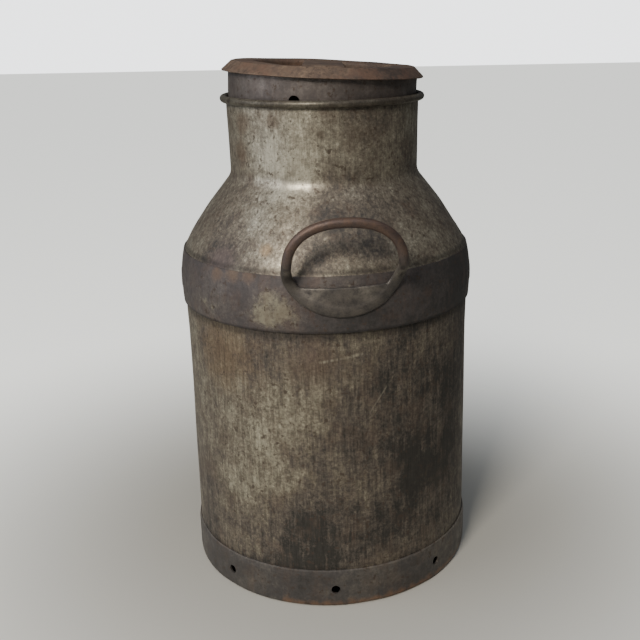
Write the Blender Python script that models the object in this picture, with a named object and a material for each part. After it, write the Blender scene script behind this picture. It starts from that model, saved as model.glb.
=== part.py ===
"""Ten gallon milk can with a recessed umbrella lid, modelled piece by piece.

Metres, +Z up, standing on z = 0 with its axis on the Z axis. One handle faces -Y, the other +Y.
Sheet pieces are turned profiles: a line down the outer face, and the same line set in by the gauge.
"""
import math

import bmesh
import bpy
from mathutils import Matrix, Vector

# ---- Fits ----
GAP = 0.0003            # soldered and riveted faces that touch
WIRE_GAP = 0.0003       # between the rim wire and the curl around it
COLLAR_PLAY = 0.0014    # between the lid's collar and the neck, all round

# ---- Facets ----
TURN_STEPS = 48         # round the can
RIVET_STEPS = 10
HOLE_STEPS = 12
CURL_STEPS = 7
WIRE_STEPS = 6
HOOP_ROWS = 5
LOOP_STEPS = 44
BAR_STEPS = 8
PLATE_COLUMNS = 14
WIDE_FACET = math.radians(32)      # in small fillets
FINE_FACET = math.radians(18)      # in the breast and throat
EDGE_ANGLE = math.radians(35)      # sharper edges than this are shaded as edges

# ---- Foot hoop ----
FOOT_H = 0.0456
FOOT_GAUGE = 0.0023
FOOT_CORNER = 0.0045
FOOT_FLANGE = 0.0145    # width of the flat turned in underneath
FOOT_LAP = 0.0126       # how far it laps over the body sheet
VENT_COUNT = 8
VENT_D = 0.0100
VENT_Z = 0.0219
VENT_PHASE = math.radians(-5.4)

# ---- Body and bottom ----
BODY_R = 0.1650         # outer radius of the body sheet
BODY_GAUGE = 0.0012
BODY_FOOT = FOOT_H - FOOT_LAP      # lower edge of the body sheet and of the bottom's skirt
BODY_TOP = 0.3450       # the body and breast sheets meet here, behind the breast hoop
SEAM_W = 0.0090         # lapped side seam, under the rear handle
SEAM_PROUD = 0.0008
BOTTOM_GAUGE = 0.0015
BOTTOM_SKIRT = 0.0195   # length of the skirt that is turned down inside the body
BOTTOM_DISH = 0.0050    # how far the middle of the bottom hangs below its edge
BOTTOM_KNUCKLE = 0.0100

# ---- Breast and neck, one drawn sheet ----
NECK_GAUGE = 0.0012
SKIRT_H = 0.0340        # the straight skirt above the joint with the body
SHOULDER_Z = BODY_TOP + SKIRT_H
SHOULDER_ROUND = 0.0250
BREAST_H = 0.0863       # from the shoulder to the throat
THROAT_Z = SHOULDER_Z + BREAST_H
THROAT_ROUND = 0.0180
BREAST_KNEES = (0.247, 0.594)      # where the breast bends, as shares of its height
BREAST_BULGE = 0.0041   # how far it stands out there from a straight cone
BREAST_ROUND = 0.1500
NECK_H = 0.0831
NECK_TOP_R = 0.1075     # outer radius of the neck where it meets the curl
NECK_FLARE = 0.0012     # how much wider the neck is there than at the throat
THROAT_R = NECK_TOP_R - NECK_FLARE
RIM_Z = THROAT_Z + NECK_H          # height of the rim wire's centre
RIM_WIRE_R = 0.0024
CURL_END = math.radians(-118)      # the curl stops here, just short of the neck

# ---- Breast hoop ----
HOOP_LAP = 0.0207       # how far it reaches below the joint of body and breast
HOOP_H = 0.0592
HOOP_Z0 = BODY_TOP - HOOP_LAP
HOOP_Z1 = HOOP_Z0 + HOOP_H
HOOP_EDGE_R = BODY_R + 0.0025      # outer radius at the lower edge
HOOP_CROWN_R = BODY_R + 0.0040
HOOP_CROWN_Z = HOOP_Z0 + 0.0237
HOOP_LIP = 0.0010       # thickness of its upper edge, on the breast

# ---- Forged handles ----
BAR_R = 0.0054
LOOP_W = 0.1280         # over the bar
LOOP_H = 0.1091         # along the lean, over the bar and the rim
LOOP_LEAN = math.radians(10)       # out from upright
LOOP_SQUARENESS = 2.35  # exponent of the oval above its middle; 2 is an ellipse
PLATE_RISE = 0.0169     # lowest point of the forging above the hoop's lower edge
PLATE_Z0 = HOOP_Z0 + PLATE_RISE
PLATE_H = 0.0315
PLATE_Z1 = PLATE_Z0 + PLATE_H      # upper edge of the plate between the loop's legs
PLATE_T = 0.0030
RIM_HALF_T = 0.0024     # the bar flattened down to a rim round the plate
RIM_HALF_W = 0.0072
RIM_SINK = 0.0010       # the rim is set this deep before its back is dressed to the hoop
SEAT_DEPTH = 0.0300     # how far inside the body's face the dressing reaches
FLATTEN_Z0 = PLATE_Z0 + 0.0248     # the bar is a flat rim below this height
FLATTEN_Z1 = PLATE_Z0 + 0.0638     # and fully round above this one

# ---- Handle rivets ----
RIVET_R = 0.0025
RIVET_HEAD_R = 0.0046
RIVET_HEAD_H = 0.0022
RIVET_SPOTS = ((0.0345, 0.0253), (0.0172, 0.0118))   # to either side, above the forging's lowest point

# ---- Lid ----
LID_TILT = math.radians(2.83)      # jammed a little aslant in the neck
LID_TURN = math.radians(-6.0)      # how far the lid is turned from the handles
LID_GAUGE = 0.0012
COLLAR_R = NECK_TOP_R - NECK_GAUGE - COLLAR_PLAY
COLLAR_GAUGE = 0.0015
COLLAR_STRAIGHT = 0.0288           # length of the straight part
COLLAR_BEND = 0.0200
COLLAR_LENGTH = 0.0600
COLLAR_TAPER = 0.0023              # how much smaller the foot's radius is
COLLAR_LIP = 0.0030
COLLAR_TURN_IN = 0.0060
RING_R = COLLAR_R - 0.0022         # outer corner of the flat ring
RING_RISE = 0.0110                 # ring above the brim's edge
BRIM_R = RING_R + 0.0108
BRIM_RISE = 0.0256                 # brim's edge above the rim wire
PAN_R = 0.0740                     # finger recess
PAN_DEPTH = 0.0220
PAN_ROUND = 0.0045
LID_VENT_D = 0.0120
LID_VENT_RISE = 0.0012             # above the rim wire
LID_VENT_AZIMUTH = math.radians(-16.1)
STRAP_W = 0.0440
STRAP_T = 0.0020
STRAP_TAB = 0.0150                 # length of the end bent down on the recess wall
STRAP_BEND = 0.0045
STRAP_DROP = 0.0008                # top of the strap below the ring
STRAP_RIVET_R = 0.0020
STRAP_RIVET_DROP = 0.0093          # below the strap's top
STRAP_RIVET_PITCH = 0.0260
STRAP_HEAD_R = 0.0040
STRAP_HEAD_H = 0.0016


def material(name, colour, roughness, metallic):
    made = bpy.data.materials.new(name)
    made.use_nodes = True
    shader = made.node_tree.nodes["Principled BSDF"]
    shader.inputs["Base Color"].default_value = (*colour, 1.0)
    shader.inputs["Roughness"].default_value = roughness
    shader.inputs["Metallic"].default_value = metallic
    made.diffuse_color = (*colour, 1.0)
    return made


def add_object(name, bm, finish, parent=None):
    """Wraps a bmesh as a named object, shaded smooth except at its real edges."""
    bmesh.ops.recalc_face_normals(bm, faces=bm.faces)
    mesh = bpy.data.meshes.new(name)
    bm.to_mesh(mesh)
    bm.free()
    mesh.shade_smooth()
    mesh.set_sharp_from_angle(angle=EDGE_ANGLE)
    mesh.materials.append(finish)
    made = bpy.data.objects.new(name, mesh)
    bpy.context.scene.collection.objects.link(made)
    made.parent = parent
    return made


# ---- Profiles: lists of (radius, height) ----

def rounded(corners, facet=WIDE_FACET):
    """A line through corners (radius, height, fillet); a fillet of 0 keeps the corner."""
    line = []
    for index, (r, z, fillet) in enumerate(corners):
        here = Vector((r, z))
        if fillet == 0:
            line.append(here)
            continue
        before = (Vector(corners[index - 1][:2]) - here).normalized()
        after = (Vector(corners[index + 1][:2]) - here).normalized()
        half = before.angle(after) / 2
        start = here + before * (fillet / math.tan(half))
        centre = here + (before + after).normalized() * (fillet / math.sin(half))
        swing = (here + after * (fillet / math.tan(half)) - centre).angle_signed(start - centre)
        segments = max(1, round(abs(swing) / facet))
        for step in range(segments + 1):
            arm = start - centre
            arm.rotate(Matrix.Rotation(swing * step / segments, 2))
            line.append(centre + arm)
    return line


def arc(centre_r, centre_z, radius, start, end, segments):
    turns = [start + (end - start) * step / segments for step in range(segments + 1)]
    return [Vector((centre_r + radius * math.cos(a), centre_z + radius * math.sin(a))) for a in turns]


def set_in(line, distance):
    """The line moved to its right-hand side, which is inwards on a line that runs down."""
    moved = []
    for index, point in enumerate(line):
        before = line[max(index - 1, 0)]
        after = line[min(index + 1, len(line) - 1)]
        arriving = (point - before).normalized() if index else (after - point).normalized()
        leaving = (after - point).normalized() if index < len(line) - 1 else arriving
        normal = Vector((arriving.y + leaving.y, -arriving.x - leaving.x)).normalized()
        stretch = max(0.5, normal.dot(Vector((arriving.y, -arriving.x))))
        moved.append(point + normal * (distance / stretch))
    return moved


def sheet(line, gauge):
    """A closed section: the line, then the same line set in by the gauge and run back."""
    return line + set_in(line, gauge)[::-1]


def between(line, low, high):
    """The stretch of a falling line between two heights, cut exactly at both."""
    kept = []
    for first, second in zip(line, line[1:]):
        for height in (high, low):
            if first.y > height > second.y:
                share = (first.y - height) / (first.y - second.y)
                kept.append(first.lerp(second, share))
        if low <= second.y <= high:
            kept.append(second.copy())
    return sorted(kept, key=lambda point: -point.y)


def turned(section, steps=TURN_STEPS, closed=True):
    """The section spun once round Z. An open section starts and ends on the axis."""
    bm = bmesh.new()
    verts = [bm.verts.new((point[0], 0.0, point[1])) for point in section]
    pairs = list(zip(verts, verts[1:]))
    if closed:
        pairs.append((verts[-1], verts[0]))
    edges = [bm.edges.new(pair) for pair in pairs]
    bmesh.ops.spin(bm, geom=verts + edges, cent=(0, 0, 0), axis=(0, 0, 1),
                   angle=2 * math.pi, steps=steps, use_merge=True)
    bmesh.ops.remove_doubles(bm, verts=bm.verts, dist=1e-6)
    bmesh.ops.recalc_face_normals(bm, faces=bm.faces)
    return bm


# ---- Cutters ----

def helper(name, bm):
    """A hidden object that a Boolean reads."""
    mesh = bpy.data.meshes.new(name)
    bmesh.ops.recalc_face_normals(bm, faces=bm.faces)
    bm.to_mesh(mesh)
    bm.free()
    made = bpy.data.objects.new(name, mesh)
    bpy.context.scene.collection.objects.link(made)
    made.hide_render = True
    made.display_type = "WIRE"
    return made


def combine(target, other, operation):
    """Applies one Boolean to the target's mesh and deletes the other object."""
    boolean = target.modifiers.new(operation.lower(), "BOOLEAN")
    boolean.operation = operation
    boolean.solver = "EXACT"
    boolean.object = other
    graph = bpy.context.evaluated_depsgraph_get()
    result = bpy.data.meshes.new_from_object(target.evaluated_get(graph))
    target.modifiers.clear()
    old = target.data
    target.data = result
    bpy.data.meshes.remove(old)
    bpy.data.objects.remove(other)


def radial_frame(azimuth, radius, height):
    """Local +Z points out of the can at an azimuth counted from -Y towards +X."""
    out = Vector((math.sin(azimuth), -math.cos(azimuth), 0.0))
    turn = out.to_track_quat("Z", "Y").to_matrix().to_4x4()
    return Matrix.Translation(out * radius + Vector((0, 0, height))) @ turn


def radial_pins(places, pin_r, inner, outer, steps=HOLE_STEPS):
    """One mesh of separate radial cylinders at (azimuth, height) places, for cutting holes."""
    bm = bmesh.new()
    for azimuth, height in places:
        frame = radial_frame(azimuth, (inner + outer) / 2, height)
        bmesh.ops.create_cone(bm, cap_ends=True, segments=steps, radius1=pin_r, radius2=pin_r,
                              depth=outer - inner, matrix=frame)
    return bm


# ---- Bottom, body and foot ----

def make_bottom(finish):
    inside_body = BODY_R - BODY_GAUGE - GAP
    edge = BODY_FOOT + BOTTOM_SKIRT
    line = rounded([
        (0.0, edge - BOTTOM_DISH, 0),
        (inside_body, edge, BOTTOM_KNUCKLE),
        (inside_body, BODY_FOOT, 0),
    ])
    lower = set_in(line, BOTTOM_GAUGE)
    lower[0].x = 0.0
    return add_object("bottom_pan", turned(line + lower[::-1], closed=False), finish)


def seam_strip():
    """The lap of the side seam: a shallow strip down the back, between the two hoops."""
    low, high = FOOT_H + GAP, HOOP_Z0 - GAP
    centre = math.pi / 2
    half = SEAM_W / 2 / BODY_R
    inner, outer = BODY_R - BODY_GAUGE / 2, BODY_R + SEAM_PROUD
    bm = bmesh.new()
    columns = []
    for turn in (centre - half, centre, centre + half):
        corners = ((inner, low), (outer, low), (outer, high), (inner, high))
        columns.append([bm.verts.new((r * math.cos(turn), r * math.sin(turn), z)) for r, z in corners])
    for left, right in zip(columns, columns[1:]):
        for k in range(4):
            bm.faces.new((left[k], right[k], right[k - 1], left[k - 1]))
    bm.faces.new(columns[0])
    bm.faces.new(columns[-1])
    return bm


def make_body(finish):
    line = [Vector((BODY_R, BODY_TOP - GAP)), Vector((BODY_R, BODY_FOOT))]
    shell = add_object("body_shell", turned(sheet(line, BODY_GAUGE)), finish)
    combine(shell, helper("seam_strip", seam_strip()), "UNION")
    return shell


def make_foot(finish):
    outer = BODY_R + GAP + FOOT_GAUGE
    line = rounded([
        (outer, FOOT_H, 0),
        (outer, 0.0, FOOT_CORNER),
        (outer - FOOT_FLANGE, 0.0, 0),
    ])
    foot = add_object("foot_hoop", turned(sheet(line, FOOT_GAUGE)), finish)
    places = [(VENT_PHASE + 2 * math.pi * k / VENT_COUNT, VENT_Z) for k in range(VENT_COUNT)]
    pins = radial_pins(places, VENT_D / 2, outer - 3 * FOOT_GAUGE, outer + FOOT_GAUGE)
    combine(foot, helper("vent_pins", pins), "DIFFERENCE")
    return foot


# ---- Breast, neck and rim ----

def breast_line():
    """Outer face of the breast and neck below the curl, from the top down."""
    knees = []
    for share in reversed(BREAST_KNEES):
        straight = BODY_R + (THROAT_R - BODY_R) * share
        knees.append((straight + BREAST_BULGE, SHOULDER_Z + BREAST_H * share, BREAST_ROUND))
    return rounded([
        (NECK_TOP_R, RIM_Z, 0),
        (THROAT_R, THROAT_Z, THROAT_ROUND),
        *knees,
        (BODY_R, SHOULDER_Z, SHOULDER_ROUND),
        (BODY_R, BODY_TOP, 0),
    ], FINE_FACET)


def make_breast(finish, rivet_places):
    curl_r = RIM_WIRE_R + WIRE_GAP
    curl = arc(NECK_TOP_R + curl_r, RIM_Z, curl_r, CURL_END, math.pi, CURL_STEPS)
    breast = add_object("breast_neck", turned(sheet(curl[:-1] + breast_line(), NECK_GAUGE)), finish)
    inner, outer = BODY_R - 4 * NECK_GAUGE, BODY_R + 4 * NECK_GAUGE
    pins = radial_pins(rivet_places, RIVET_R + GAP, inner, outer, RIVET_STEPS)
    combine(breast, helper("breast_pins", pins), "DIFFERENCE")
    return breast


def make_rim_wire(finish):
    centre = NECK_TOP_R + RIM_WIRE_R + WIRE_GAP
    ring = arc(centre, RIM_Z, RIM_WIRE_R, 0, -2 * math.pi, WIRE_STEPS)
    return add_object("rim_wire", turned(ring[:-1]), finish)


# ---- Breast hoop ----

def hoop_back():
    """Inner face of the hoop: it lies on the breast, its skirt and the body with a gap."""
    skirt = breast_line()[:-1] + [Vector((BODY_R, HOOP_Z0 - GAP))]
    return between(set_in(skirt, -GAP), HOOP_Z0, HOOP_Z1)


HOOP_TOP_R = hoop_back()[0].x + HOOP_LIP


def hoop_radius(height):
    """Outer face of the hoop: a shallow crown that runs out to a thin upper edge."""
    if height < HOOP_CROWN_Z:
        fall = HOOP_CROWN_R - HOOP_EDGE_R
        return HOOP_CROWN_R - fall * ((HOOP_CROWN_Z - height) / (HOOP_CROWN_Z - HOOP_Z0)) ** 2
    fall = HOOP_CROWN_R - HOOP_TOP_R
    return HOOP_CROWN_R - fall * ((height - HOOP_CROWN_Z) / (HOOP_Z1 - HOOP_CROWN_Z)) ** 2


def hoop_line(set_out=0.0):
    heights = [HOOP_Z1 + (HOOP_Z0 - HOOP_Z1) * row / HOOP_ROWS for row in range(HOOP_ROWS + 1)]
    return [Vector((hoop_radius(z) + set_out, z)) for z in heights]


def make_hoop(finish, rivet_places):
    inside = hoop_back()
    hoop = add_object("breast_hoop", turned(hoop_line() + inside[::-1]), finish)
    pins = radial_pins(rivet_places, RIVET_R + GAP, BODY_R - GAP, HOOP_CROWN_R + GAP, RIVET_STEPS)
    combine(hoop, helper("hoop_pins", pins), "DIFFERENCE")
    return hoop


# ---- Forged handle ----

def smooth_step(value, low, high):
    share = min(1.0, max(0.0, (value - low) / (high - low)))
    return share * share * (3 - 2 * share)


LOOP_HALF_W = LOOP_W / 2 - BAR_R                 # the bar's centre line
LOOP_HALF_RISE = (LOOP_H / 2 - BAR_R) * math.cos(LOOP_LEAN)
LOOP_HALF_FALL = (LOOP_H / 2 - RIM_HALF_W) * math.cos(LOOP_LEAN)
LOOP_MIDDLE_Z = PLATE_Z0 + LOOP_H / 2 * math.cos(LOOP_LEAN)


def loop_oval(turn):
    """Centre line of the loop as (across, height): an ellipse below its middle, squarer above it."""
    across, upwards = math.sin(turn), -math.cos(turn)
    if upwards < 0:
        return LOOP_HALF_W * across, LOOP_MIDDLE_Z + LOOP_HALF_FALL * upwards
    power = 2 / LOOP_SQUARENESS
    return (math.copysign(LOOP_HALF_W * abs(across) ** power, across),
            LOOP_MIDDLE_Z + LOOP_HALF_RISE * upwards ** power)


def handle_bar():
    """The oval loop: a round bar at the top, hammered down to a flat rim where it lies on the hoop."""
    foot_r = hoop_radius(PLATE_Z0) + GAP + RIM_HALF_T - RIM_SINK
    face = Vector((0.0, -math.cos(LOOP_LEAN), -math.sin(LOOP_LEAN)))

    def place(turn):
        across, height = loop_oval(turn)
        free = smooth_step(height, FLATTEN_Z0, FLATTEN_Z1)
        seat_r = foot_r + hoop_radius(min(height, HOOP_Z1)) - hoop_radius(PLATE_Z0)
        seated = math.sqrt(seat_r ** 2 - across ** 2)
        standing = foot_r + (height - PLATE_Z0) * math.tan(LOOP_LEAN)
        depth = seated + (standing - seated) * free
        return Vector((across, -depth, height)), free

    bm = bmesh.new()
    rings = []
    for step in range(LOOP_STEPS):
        turn = 2 * math.pi * step / LOOP_STEPS
        point, free = place(turn)
        tangent = (place(turn + 0.01)[0] - place(turn - 0.01)[0]).normalized()
        seat_face = Vector((point.x, point.y, 0.0)).normalized()
        out = seat_face.lerp(face, free)
        out = (out - tangent * out.dot(tangent)).normalized()
        side = tangent.cross(out)
        half_t = RIM_HALF_T + (BAR_R - RIM_HALF_T) * free
        half_side = RIM_HALF_W + (BAR_R - RIM_HALF_W) * free
        ring = []
        for k in range(BAR_STEPS):
            a = 2 * math.pi * k / BAR_STEPS
            ring.append(bm.verts.new(point + out * (half_t * math.cos(a)) + side * (half_side * math.sin(a))))
        rings.append(ring)
    for index in range(LOOP_STEPS):
        this, following = rings[index - 1], rings[index]
        for k in range(BAR_STEPS):
            bm.faces.new((this[k - 1], this[k], following[k], following[k - 1]))
    return bm


def handle_plate():
    """The plate that fills the lower part of the loop, curved to sit on the hoop."""
    reach = LOOP_HALF_W * math.sqrt(1 - ((LOOP_MIDDLE_Z - PLATE_Z1 + PLATE_T) / LOOP_HALF_FALL) ** 2)
    bm = bmesh.new()
    columns = []
    for step in range(PLATE_COLUMNS + 1):
        across = reach * (2 * step / PLATE_COLUMNS - 1)
        low = LOOP_MIDDLE_Z - LOOP_HALF_FALL * math.sqrt(1 - (across / LOOP_HALF_W) ** 2)
        azimuth = math.asin(across / HOOP_CROWN_R)
        column = []
        for deep, height in ((True, low), (False, low), (False, PLATE_Z1), (True, PLATE_Z1 + GAP)):
            r = BODY_R if deep else hoop_radius(height) + GAP + PLATE_T
            column.append(bm.verts.new((r * math.sin(azimuth), -r * math.cos(azimuth), height)))
        columns.append(column)
    for left, right in zip(columns, columns[1:]):
        for k in range(4):
            bm.faces.new((left[k], right[k], right[k - 1], left[k - 1]))
    bm.faces.new(columns[0])
    bm.faces.new(columns[-1])
    return bm


def seat_block():
    """Everything inside the hoop's outer face and a gap, from well below the handle to well above."""
    depth = BODY_R - SEAT_DEPTH
    return turned([Vector((depth, HOOP_Z1)), *hoop_line(set_out=GAP), Vector((depth, HOOP_Z0))])


def make_handles(finish, spots):
    front = add_object("handle_front", handle_bar(), finish)
    combine(front, helper("plate", handle_plate()), "UNION")
    combine(front, helper("seat", seat_block()), "DIFFERENCE")
    pins = radial_pins(spots, RIVET_R + GAP, BODY_R, HOOP_CROWN_R + 4 * PLATE_T, RIVET_STEPS)
    combine(front, helper("plate_pins", pins), "DIFFERENCE")
    front.data.shade_smooth()
    front.data.set_sharp_from_angle(angle=EDGE_ANGLE)
    rear = bpy.data.objects.new("handle_rear", front.data)
    rear.rotation_euler.z = math.pi
    bpy.context.scene.collection.objects.link(rear)
    return front, rear


DOME_SHARES = (0.5, 0.85, 1.0)     # a domed head's rings, as shares of its radius


def make_handle_rivets(finish, spots):
    """Rivets with domed heads inside the breast, dressed off just under the plate's face."""
    facet_fall = BODY_R * (1 - math.cos(math.pi / TURN_STEPS))
    inside = BODY_R - NECK_GAUGE - facet_fall - GAP
    for side, turn in (("front", 0.0), ("rear", math.pi)):
        for number, (azimuth, height) in enumerate(spots, 1):
            tip = hoop_radius(height) + PLATE_T
            dome = [(0.0, inside - RIVET_HEAD_H)]
            dome += [(RIVET_HEAD_R * share, inside - RIVET_HEAD_H * (1 - share ** 2))
                     for share in DOME_SHARES]
            section = dome + [(RIVET_R, inside), (RIVET_R, tip), (0.0, tip)]
            bm = turned(section[::-1], steps=RIVET_STEPS, closed=False)
            rivet = add_object(f"handle_rivet_{side}_{number}", bm, finish)
            rivet.matrix_world = radial_frame(azimuth + turn, 0.0, height)


# ---- Lid ----

def make_lid_top(finish, parent):
    ring = BRIM_RISE + RING_RISE
    floor = ring - PAN_DEPTH
    line = rounded([
        (0.0, floor, 0),
        (PAN_R, floor, PAN_ROUND),
        (PAN_R, ring, PAN_ROUND),
        (RING_R, ring, 0),
        (BRIM_R, BRIM_RISE, 0),
    ])
    under = set_in(line, LID_GAUGE)
    under[0].x = 0.0
    return add_object("lid_top", turned(line + under[::-1], closed=False), finish, parent)


def make_lid_collar(finish, parent):
    """The collar stands against the underside of the brim's cone."""
    slope = RING_RISE / (BRIM_R - RING_R)
    underside = BRIM_RISE + RING_RISE - (COLLAR_R - RING_R) * slope - LID_GAUGE * math.sqrt(1 + slope ** 2)
    top = underside - GAP
    foot = top - COLLAR_LENGTH
    foot_r = COLLAR_R - COLLAR_TAPER
    line = rounded([
        (COLLAR_R, top, 0),
        (COLLAR_R, top - COLLAR_STRAIGHT, COLLAR_BEND),
        (foot_r, foot, COLLAR_LIP),
        (foot_r - COLLAR_TURN_IN, foot - COLLAR_LIP / 2, 0),
    ])
    collar = add_object("lid_collar", turned(sheet(line, COLLAR_GAUGE)), finish, parent)
    bpy.context.view_layer.update()
    places = [(LID_VENT_AZIMUTH + turn, LID_VENT_RISE) for turn in (0.0, math.pi)]
    pins = radial_pins(places, LID_VENT_D / 2, COLLAR_R - 4 * COLLAR_GAUGE, COLLAR_R + 2 * COLLAR_GAUGE)
    pins.transform(parent.matrix_world)
    combine(collar, helper("lid_vent_pins", pins), "DIFFERENCE")
    return collar


def strap_pins(parent, pin_r, inner, outer):
    """The four rivet places of the strap, as cylinders along Y."""
    bm = bmesh.new()
    for x, y_sign, z in strap_rivet_places():
        frame = Matrix.Translation((x, y_sign * (inner + outer) / 2, z))
        frame @= Matrix.Rotation(math.pi / 2, 4, "X")
        bmesh.ops.create_cone(bm, cap_ends=True, segments=RIVET_STEPS, radius1=pin_r, radius2=pin_r,
                              depth=outer - inner, matrix=frame)
    bm.transform(parent.matrix_world)
    return bm


def strap_rivet_places():
    height = BRIM_RISE + RING_RISE - STRAP_DROP - STRAP_RIVET_DROP
    return [(x * STRAP_RIVET_PITCH / 2, y, height) for y in (-1, 1) for x in (-1, 1)]


def strap_reach():
    """Half the strap's length: where its flat ends meet the curved wall of the recess at their edges."""
    wall = PAN_R - GAP
    return math.sqrt(wall ** 2 - (STRAP_W / 2) ** 2)


def make_strap(finish, parent):
    top = BRIM_RISE + RING_RISE - STRAP_DROP
    reach = strap_reach()
    half = rounded([
        (0.0, top, 0),
        (reach, top, STRAP_BEND),
        (reach, top - STRAP_TAB, 0),
    ])
    under = set_in(half, STRAP_T)
    under[0].x = 0.0
    right = half + under[::-1]
    bm = bmesh.new()
    for sign in (1, -1):
        face = [bm.verts.new((-STRAP_W / 2, sign * y, z)) for y, z in right]
        bm.faces.new(face)
    bmesh.ops.remove_doubles(bm, verts=bm.verts, dist=1e-6)
    made = bmesh.ops.extrude_face_region(bm, geom=list(bm.faces))
    moved = [item for item in made["geom"] if isinstance(item, bmesh.types.BMVert)]
    bmesh.ops.translate(bm, verts=moved, vec=(STRAP_W, 0, 0))
    strap = add_object("lid_strap", bm, finish, parent)
    pins = strap_pins(parent, STRAP_RIVET_R + GAP, reach - 3 * STRAP_T, reach + STRAP_T)
    combine(strap, helper("strap_pins", pins), "DIFFERENCE")
    return strap


def make_strap_rivets(lid_top, finish, parent):
    """Cuts the rivet holes in the recess wall, then makes the rivets with heads on the strap's ends."""
    reach = strap_reach()
    pins = strap_pins(parent, STRAP_RIVET_R + GAP, reach - STRAP_T / 2, PAN_R + 4 * LID_GAUGE)
    combine(lid_top, helper("wall_pins", pins), "DIFFERENCE")
    head = reach - STRAP_T - GAP
    behind = PAN_R + LID_GAUGE + GAP
    dome = [(0.0, STRAP_HEAD_H)]
    dome += [(STRAP_HEAD_R * share, STRAP_HEAD_H * (1 - share ** 2)) for share in DOME_SHARES]
    for number, (x, y_sign, z) in enumerate(strap_rivet_places(), 1):
        shank = behind - head
        section = dome + [(STRAP_RIVET_R, 0.0), (STRAP_RIVET_R, -shank), (0.0, -shank)]
        bm = turned(section, RIVET_STEPS, closed=False)
        rivet = add_object(f"strap_rivet_{number}", bm, finish, parent)
        rivet.location = (x, y_sign * head, z)
        rivet.rotation_euler.x = y_sign * math.pi / 2


# ---- The can ----
for old in list(bpy.data.objects):
    bpy.data.objects.remove(old)

tinned = material("tinned_sheet", (0.150, 0.138, 0.112), 0.52, 0.85)
hoop_steel = material("hoop_steel", (0.085, 0.074, 0.068), 0.58, 0.75)
forged = material("forged_iron", (0.120, 0.078, 0.062), 0.55, 0.75)
lid_steel = material("rusted_lid_sheet", (0.135, 0.092, 0.066), 0.70, 0.55)
collar_steel = material("collar_sheet", (0.085, 0.072, 0.066), 0.60, 0.70)
rivet_steel = material("rivet_steel", (0.110, 0.095, 0.082), 0.55, 0.80)

rivet_spots = [(side * math.asin(across / BODY_R), PLATE_Z0 + rise)
               for across, rise in RIVET_SPOTS for side in (-1, 1)]
all_spots = rivet_spots + [(azimuth + math.pi, height) for azimuth, height in rivet_spots]

make_bottom(tinned)
make_body(tinned)
make_foot(hoop_steel)
make_breast(tinned, all_spots)
make_rim_wire(hoop_steel)
make_hoop(hoop_steel, all_spots)
make_handles(forged, rivet_spots)
make_handle_rivets(rivet_steel, rivet_spots)

lid_axis = bpy.data.objects.new("lid_axis", None)
bpy.context.scene.collection.objects.link(lid_axis)
lid_axis.location.z = RIM_Z
lid_axis.rotation_euler = (0.0, LID_TILT, LID_TURN)
bpy.context.view_layer.update()
lid = make_lid_top(lid_steel, lid_axis)
make_lid_collar(collar_steel, lid_axis)
make_strap(lid_steel, lid_axis)
make_strap_rivets(lid, rivet_steel, lid_axis)
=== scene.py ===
import math

import bmesh
import bpy
from mathutils import Matrix, Vector, noise


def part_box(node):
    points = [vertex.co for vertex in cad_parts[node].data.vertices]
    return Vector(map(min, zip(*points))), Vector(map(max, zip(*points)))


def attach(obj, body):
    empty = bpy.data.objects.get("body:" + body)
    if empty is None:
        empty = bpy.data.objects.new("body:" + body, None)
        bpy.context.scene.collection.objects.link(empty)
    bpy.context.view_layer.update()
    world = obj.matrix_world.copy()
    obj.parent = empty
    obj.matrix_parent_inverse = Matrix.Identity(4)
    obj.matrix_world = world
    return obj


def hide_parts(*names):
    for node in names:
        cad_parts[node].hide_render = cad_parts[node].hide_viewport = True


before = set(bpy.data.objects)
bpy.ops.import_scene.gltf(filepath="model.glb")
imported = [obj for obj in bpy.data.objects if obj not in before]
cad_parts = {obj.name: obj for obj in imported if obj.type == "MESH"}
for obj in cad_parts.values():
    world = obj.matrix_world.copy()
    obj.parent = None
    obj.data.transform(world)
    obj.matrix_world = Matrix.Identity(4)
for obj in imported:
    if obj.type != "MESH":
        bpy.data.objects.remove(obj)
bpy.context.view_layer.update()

# ---- Camera, light and floor ----
# The can stands on a pale painted floor and is seen from a little above, just left of its front handle.
# A soft key light stands to its left, a wide weak one further round, a weak one overhead, in a dim pale room.


def linear(hex_colour):
    """An sRGB hex colour as the linear values that shaders take."""
    parts = [int(hex_colour[k:k + 2], 16) / 255 for k in (1, 3, 5)]
    return (*[v / 12.92 if v <= 0.04045 else ((v + 0.055) / 1.055) ** 2.4 for v in parts], 1.0)


def add(tree, kind, inputs=(), **settings):
    """Adds one shader node. inputs maps a socket's name or number to its value or to the socket it reads."""
    made = tree.nodes.new("ShaderNode" + kind)
    for setting, value in settings.items():
        setattr(made, setting, value)
    for socket, value in dict(inputs).items():
        if isinstance(value, bpy.types.NodeSocket):
            tree.links.new(value, made.inputs[socket])
        else:
            made.inputs[socket].default_value = value
    return made


def link_object(name, data):
    made = bpy.data.objects.new(name, data)
    bpy.context.scene.collection.objects.link(made)
    return made


camera_data = bpy.data.cameras.new("camera")
camera_data.lens = 51.0
camera_data.sensor_width = 36.0
camera_data.shift_x = -0.0704
camera_data.shift_y = -0.0339
camera = link_object("camera", camera_data)
camera_azimuth, camera_aim = math.radians(-6.0), math.radians(-2.4925)
camera_pitch, camera_roll = math.radians(-17.021), math.radians(-0.6621)
camera_stand = Matrix.Translation((0.0, -1.0404, 0.6286))
camera.matrix_world = (Matrix.Rotation(camera_azimuth, 4, "Z") @ camera_stand
                       @ Matrix.Rotation(camera_aim, 4, "Z")
                       @ Matrix.Rotation(math.pi / 2 + camera_pitch, 4, "X")
                       @ Matrix.Rotation(camera_roll, 4, "Z"))
bpy.context.scene.camera = camera

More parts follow.
